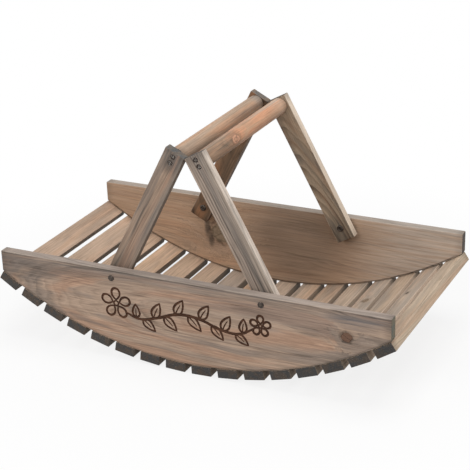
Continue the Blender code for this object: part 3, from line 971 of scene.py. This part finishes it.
BOARD_LOOKS = {
    "front": {
        "Shift": (1.7, 4.1, 2.3), "Pith": (0, 0.009, -0.03), "Pith drift": (0, -0.008, 0.043),
        "Pith bend": (0, 0, -0.3), "Rings": 0.85, "Streaks": 0.6, "Fibres": 0.9,
        "Pale wood": (0.45, 0.322, 0.238), "Ring wood": (0.225, 0.155, 0.11), "Warm amount": 0.5,
        "Edge stain and painted shade line": 0.3, "Grey stain": (0.185, 0.162, 0.145), "Grey side": (0, 1, 0), "Grey from": 0.05,
        "Grey depth": 0.75, "Painted light and side stain": (0.345, 0.285, 0.245), "Side amount": 0.8,
        "End stain": (0.135, 0.14, 0.115), "Knot": (0.238, 0.025, 0.0075), "Knot radius": 0.0072,
        "Smudges": [
            ((0.135, 0.125, 0.125), (0.255, 0.05, 0.0075), (0.05, 0.014, 0.03), 0.85),
            ((0.14, 0.115, 0.1), (-0.262, 0.044, 0.0075), (0.095, 0.02, 0.03), 0.75),
        ],
    },
    "back": {
        "Shift": (7.9, 3.3, 5.1), "Pith": (0, -0.03, -0.035), "Pith drift": (0, 0.03, 0.05),
        "Ring width": 0.003, "Rings": 0.65, "Streaks": 0.4, "Fibres": 0.5, "Pale wood": (0.475, 0.318, 0.211),
        "Warm stain": (0.46, 0.26, 0.155), "Warm amount": 0.3, "Grey stain": (0.53, 0.44, 0.365),
        "Grey amount": 0.12, "Grey side": (-1, 0, 0), "Grey from": 0.095, "Grey fade": 0.14,
        "Grey depth": 0.9, "Smudge raggedness": 0.4, "Smudge grain": 0.85, "Painted light and side stain": (0.375, 0.325, 0.28),
        # The back board's edge line runs only along its lower edge, as painted shade where it sits on the
        # slats
        "Side amount": 0.85, "Edge stain and painted shade line": 0.65, "Edge stain and painted shade line below": 0.03, "Knot": (0.091, 0.005, -0.0075),
        "Knot radius": 0.0165, "Knot ring width": 0.005, "Knot wood": (0.22, 0.16, 0.105),
        "Smudges": [
            ((0.165, 0.122, 0.09), (-0.038, 0.013, -0.0075), (0.105, 0.095, 0.06), 0.7),
            ((0.06, 0.048, 0.036), (0.117, 0.012, -0.0075), (0.0065, 0.023, 0.02), 1.0),
            ((0.06, 0.048, 0.036), (0.111, -0.009, -0.0075), (0.0065, 0.015, 0.02), 0.95),
        ],
    },
}

# The arms' narrow sides are stained darker on the left front arm and paler than the face on the right arms:
# partly painted shade and painted light, after how each side faces the lamps
ARM_LOOKS = {
    ("left", "front"): {
        "Shift": (2.2, 8.4, 1.5), "Pith": (0, 0.03, -0.03), "Rings": 0.9, "Streaks": 0.8,
        "Pale wood": (0.405, 0.285, 0.207), "Ring wood": (0.16, 0.115, 0.086),
        "Warm stain": (0.4, 0.225, 0.15), "Warm amount": 0.6, "Grey stain": (0.17, 0.15, 0.135),
        "Grey amount": 0.5, "Grey side": (1, 0, 0), "Grey from": 0.095, "Painted light and side stain": (0.16, 0.125, 0.1),
        "Side amount": 0.8, "End stain": (0.12, 0.12, 0.118),
        "Smudges": [
            ((0.1, 0.082, 0.07), (0.0995, 0.0, 0.0065), (0.017, 0.01, 0.02), 0.8),
            ((0.21, 0.175, 0.148), (0.02, -0.0145, 0.0065), (0.25, 0.0075, 0.03), 0.8),
            ((0.118, 0.101, 0.084), (-0.095, 0.002, 0.0065), (0.05, 0.02, 0.03), 0.8),
        ],
    },
    ("left", "back"): {
        "Shift": (4.6, 1.2, 9.1), "Pith": (0, 0.006, 0.03), "Pith drift": (0, 0.02, -0.16),
        "Ring width": 0.0042, "Rings": 1.1, "Pale wood": (0.24, 0.14, 0.08),
        "Ring wood": (0.085, 0.047, 0.027), "Warm stain": (0.34, 0.155, 0.07), "Warm amount": 0.55,
        "Grey stain": (0.072, 0.05, 0.032), "Grey amount": 0.2, "Grey side": (0, 1, 0), "Grey from": -0.006,
        "Painted light and side stain": (0.15, 0.1, 0.075), "Side amount": 0.8, "End stain": (0.16, 0.145, 0.13),
        "Smudges": [
            ((0.34, 0.165, 0.08), (-0.108, -0.002, -0.0065), (0.018, 0.012, 0.02), 0.75),
            ((0.1, 0.062, 0.04), (-0.098, 0.001, -0.0065), (0.009, 0.006, 0.02), 0.7),
        ],
    },
    ("right", "front"): {
        "Shift": (6.3, 2.9, 3.7), "Pith": (0, 0.065, -0.01), "Pith drift": (0, 0.01, 0.0),
        "Ring width": 0.0036, "Rings": 2.2, "Streaks": 1.0, "Fibres": 1.0, "Pale wood": (0.36, 0.295, 0.242),
        "Ring wood": (0.085, 0.073, 0.065), "Warm amount": 0.1, "Grey stain": (0.175, 0.156, 0.143),
        "Grey amount": 0.45, "Painted light and side stain": (0.76, 0.65, 0.555), "Side amount": 0.92,
        "Smudges": [
            ((0.44, 0.355, 0.285), (0.0, -0.0128, 0.0065), (0.3, 0.0062, 0.03), 0.95),
            ((0.42, 0.315, 0.245), (0.0, 0.0155, 0.0065), (0.25, 0.007, 0.03), 0.85),
            ((0.1, 0.088, 0.079), (-0.02, -0.002, 0.0065), (0.14, 0.0058, 0.03), 0.5),
        ],
    },
    ("right", "back"): {
        "Shift": (9.8, 5.5, 6.1), "Pith": (0, -0.02, 0.028), "Pith drift": (0, 0.02, 0.24),
        "Ring width": 0.0056, "Rings": 2.8, "Streaks": 0.3, "Pale wood": (0.435, 0.332, 0.235),
        "Ring wood": (0.12, 0.08, 0.048), "Warm stain": (0.3, 0.17, 0.1), "Warm amount": 0.45,
        "Grey stain": (0.16, 0.138, 0.115), "Painted light and side stain": (0.81, 0.67, 0.535), "Side amount": 0.92,
        "Smudges": [
            ((0.114, 0.097, 0.076), (-0.104, 0.0, -0.0065), (0.038, 0.026, 0.02), 0.85),
            ((0.54, 0.405, 0.28), (0.08, 0.0115, -0.0065), (0.095, 0.0085, 0.02), 0.8),
            ((0.13, 0.105, 0.085), (0.08, -0.015, -0.0065), (0.06, 0.0075, 0.02), 0.45),
        ],
    },
}

GRIP_LOOKS = {
    "left": {
        "Shift": (3.9, 6.6, 4.4), "Pith": (0, 0.016, -0.01), "Rings": 0.5, "Streaks": 0.4,
        "Pale wood": (0.515, 0.365, 0.258), "Warm stain": (0.53, 0.325, 0.208), "Warm amount": 0.75,
        "Grey stain": (0.36, 0.3, 0.25), "Grey amount": 0.25, "Grey side": (1, 0, 0), "Grey from": 0.11,
        "Smudges": [
            ((0.43, 0.37, 0.325), (0, -0.009, -0.0087), (0.4, 0.0066, 0.0066), 0.85),
            # This second smudge, a pale band along the grip's lower side, is painted light against the shade
            # under the round grip
            ((0.46, 0.36, 0.265), (0.02, 0.011, 0.004), (0.4, 0.006, 0.006), 0.6),
            ((0.22, 0.17, 0.135), (0.085, 0.0118, -0.004), (0.065, 0.007, 0.007), 0.62),
        ],
    },
    "right": {
        "Shift": (5.7, 9.3, 8.2), "Pith": (0, -0.012, 0.016), "Rings": 0.8, "Ring wood": (0.4, 0.225, 0.135),
        "Streaks": 0.4, "Pale wood": (0.6, 0.37, 0.235), "Warm stain": (0.66, 0.315, 0.18),
        "Warm amount": 0.8, "Grey stain": (0.23, 0.163, 0.113), "Grey amount": 0.15, "Grey side": (-1, 0, 0),
        "Grey from": 0.034, "Grey depth": 0.95, "Knot": (-0.043, 0.0118, -0.0042), "Knot radius": 0.0064,
        "Knot squeeze": (0.6, 0.35, 1), "Knot ring width": 0.0036, "Knot rings": 0.24, "Knot rim": 0.12,
        "Knot wood": (0.58, 0.31, 0.195),
        "Smudges": [
            ((0.46, 0.36, 0.285), (0.13, -0.001, -0.0125), (0.28, 0.0052, 0.0052), 0.75),
            ((0.43, 0.335, 0.262), (0.04, 0.0115, 0.005), (0.16, 0.0062, 0.0062), 0.75),
            ((0.62, 0.48, 0.37), (0.118, 0.006, -0.01), (0.04, 0.014, 0.014), 0.6),
        ],
    },
}

SLAT_MARKS = {
    1: {"Bare side": -1.0},
    5: {"Knot": (-0.06, 0.0135, 0.0065), "Knot radius": 0.0025},
    13: {
        "Knot": (-0.067, 0.001, 0.003), "Knot radius": 0.0058, "Knot rings": 0.18, "Knot rim": 0.35,
        "Knot wood": (0.25, 0.18, 0.12),
    },
    15: {"Knot": (-0.0535, -0.0045, 0.007), "Knot radius": 0.0028, "Knot wood": (0.08, 0.055, 0.04)},
    16: {
        "Bare side": 1.0, "Pale wood": (0.58, 0.455, 0.335), "Warm amount": 0.4, "Grey amount": 0.3,
        "Painted side end shade": 0.0,
    },
}


def slat_look(number):
    """Each slat comes from its own place in the log, warmer at the left end and greyer at the right."""
    share = (number - 1) / (SLAT_COUNT - 1)
    jump = [noise.noise(Vector((number * 1.37 + 0.5, 7.7 + k * 3.1, 2.2))) for k in range(6)]
    pale = Vector((0.57, 0.395, 0.275)).lerp(Vector((0.52, 0.405, 0.305)), share) * (1 + 0.2 * jump[0])
    pale = pale * Vector((1 + 0.12 * jump[5], 1, 1 - 0.15 * jump[5]))
    painted_side_light = share**2
    return {
        "Shift": (number * 2.3, number * 1.9, number * 3.7),
        "Pale wood": pale,
        "Ring wood": pale * 0.55,
        "Warm stain": (0.54, 0.335, 0.215),
        "Grey stain": (0.30, 0.262, 0.228),
        "Pith": (0, 0.02 * jump[1], -0.03 - 0.02 * jump[2]),
        "Pith drift": (0, 0.05 * jump[3], 0.05 * jump[2]),
        "Ring width": 0.0032 + 0.001 * jump[1],
        "Rings": 0.55,
        "Streaks": 0.35,
        "Warm amount": 0.4 - 0.1 * share,
        "Grey amount": 0.35 + 0.25 * share + 0.3 * jump[4],
        # The sides run from dark at the left end to paler than the face at the right: painted shade where
        # they face down, and painted light against the shade in the gaps
        "Painted light and side stain": (0.19 + 0.56 * painted_side_light, 0.145 + 0.45 * painted_side_light, 0.105 + 0.36 * painted_side_light),
        "Side amount": 0.8,
        # Painted shade on the sides near the ends, where they pass under the boards
        "Painted side end shade": 0.5 - 0.1 * share,
        "End stain": (0.062 - 0.012 * share, 0.057 - 0.009 * share, 0.054 - 0.007 * share),
        "Wear": 0.15,
        **SLAT_MARKS.get(number, {}),
    }


def set_camera():
    flat, up = math.cos(CAMERA_HEIGHT_ANGLE), math.sin(CAMERA_HEIGHT_ANGLE)
    back = Vector((math.sin(CAMERA_TURN) * flat, -math.cos(CAMERA_TURN) * flat, up))
    right = Z_AXIS.cross(back).normalized()
    level = Matrix((right, back.cross(right), back)).transposed().to_4x4()
    turned = level @ Matrix.Rotation(CAMERA_ROLL, 4, "Z")
    turned.translation = CAMERA_PLACE
    camera = new_object("camera", bpy.data.cameras.new("camera"))
    camera.data.lens = CAMERA_LENS
    camera.data.sensor_width = CAMERA_SENSOR
    camera.matrix_world = turned
    bpy.context.scene.camera = camera


def seen_directly(tree):
    """1 where the camera, a reflection or a see-through surface looks at the backdrop."""
    path = tree.nodes.new("ShaderNodeLightPath").outputs
    looked = calc("MAXIMUM", path["Is Camera Ray"], path["Is Glossy Ray"])
    return calc("MAXIMUM", looked, path["Is Transmission Ray"])


def light_scene():
    """Soft square lamps aimed at the trug under a plain white world."""
    world = bpy.data.worlds.new("studio")
    bpy.context.scene.world = world
    world.use_nodes = True
    tree = world.node_tree
    backdrop = tree.nodes["Background"]
    feed(backdrop.inputs["Color"], WHITE)
    strength = scale_add(seen_directly(tree), 1 - WORLD_STRENGTH, WORLD_STRENGTH)
    feed(backdrop.inputs["Strength"], strength)
    for name, (spot, size, watts) in LAMPS.items():
        lamp = new_object(name, bpy.data.lights.new(name, "AREA"))
        lamp.data.size = size
        lamp.data.energy = watts
        aim = (LAMP_AIM - Vector(spot)).to_track_quat("-Z", "Y").to_matrix().to_4x4()
        aim.translation = spot
        lamp.matrix_world = aim
    bpy.context.scene.view_settings.view_transform = "Standard"


def lay_floor():
    """A floor that looks white, keeps the trug's shadow and runs into the white backdrop further out."""
    bm = bmesh.new()
    bmesh.ops.create_circle(bm, cap_ends=True, segments=FLOOR_SIDES, radius=FLOOR_RADIUS)
    mesh = to_mesh(bm, "floor")
    floor = new_object("floor", mesh)
    material, tree, shader = new_material("white_floor")
    seen = seen_directly(tree)
    pale = scale_add(seen, FLOOR_WHITE - FLOOR_GREY, FLOOR_GREY)
    colour = tree.nodes.new("ShaderNodeCombineColor")
    feed_all(colour.inputs, (pale, pale, pale))
    feed(shader.inputs["Base Color"], colour.outputs[0])
    shader.inputs["Roughness"].default_value = FLOOR_ROUGHNESS
    shader.inputs["Specular IOR Level"].default_value = 0.0
    fade = rise(vector_calc("LENGTH", own_place(tree)), *FLOOR_FADE)
    glow = tree.nodes.new("ShaderNodeEmission")
    feed(glow.inputs["Color"], WHITE)
    blend = tree.nodes.new("ShaderNodeMixShader")
    feed(blend.inputs[0], scale(seen, fade))
    feed(blend.inputs[1], shader.outputs[0])
    feed(blend.inputs[2], glow.outputs[0])
    feed(tree.nodes["Material Output"].inputs["Surface"], blend.outputs[0])
    mesh.materials.append(material)


def main():
    noise.seed_set(UNEVEN_SEED)  # without it the unevenness would differ from run to run
    groups = {
        "pine": make_pine(make_knot()),
        "block": make_block_edges(),
        "board": make_board_edges(),
        "rod": make_rod_edges(),
    }
    make_boards(groups, make_burnt())
    make_slats(groups)
    make_arms(groups)
    make_grips(groups)
    make_pivots(make_browned_steel())
    dull = make_screw_steel("dull_steel", stain=(0.045, 0.032, 0.026), bright_from=0.60)
    # The recess steel is paler and more often bright: rubbed steel, and a painted glint in the recess
    rubbed_and_painted_glint = make_screw_steel("rubbed_steel_and_painted_glint", stain=(0.24, 0.22, 0.20), bright_from=0.37)
    make_screws(dull, rubbed_and_painted_glint)
    make_nails(dull)
    set_camera()
    light_scene()
    lay_floor()


main()
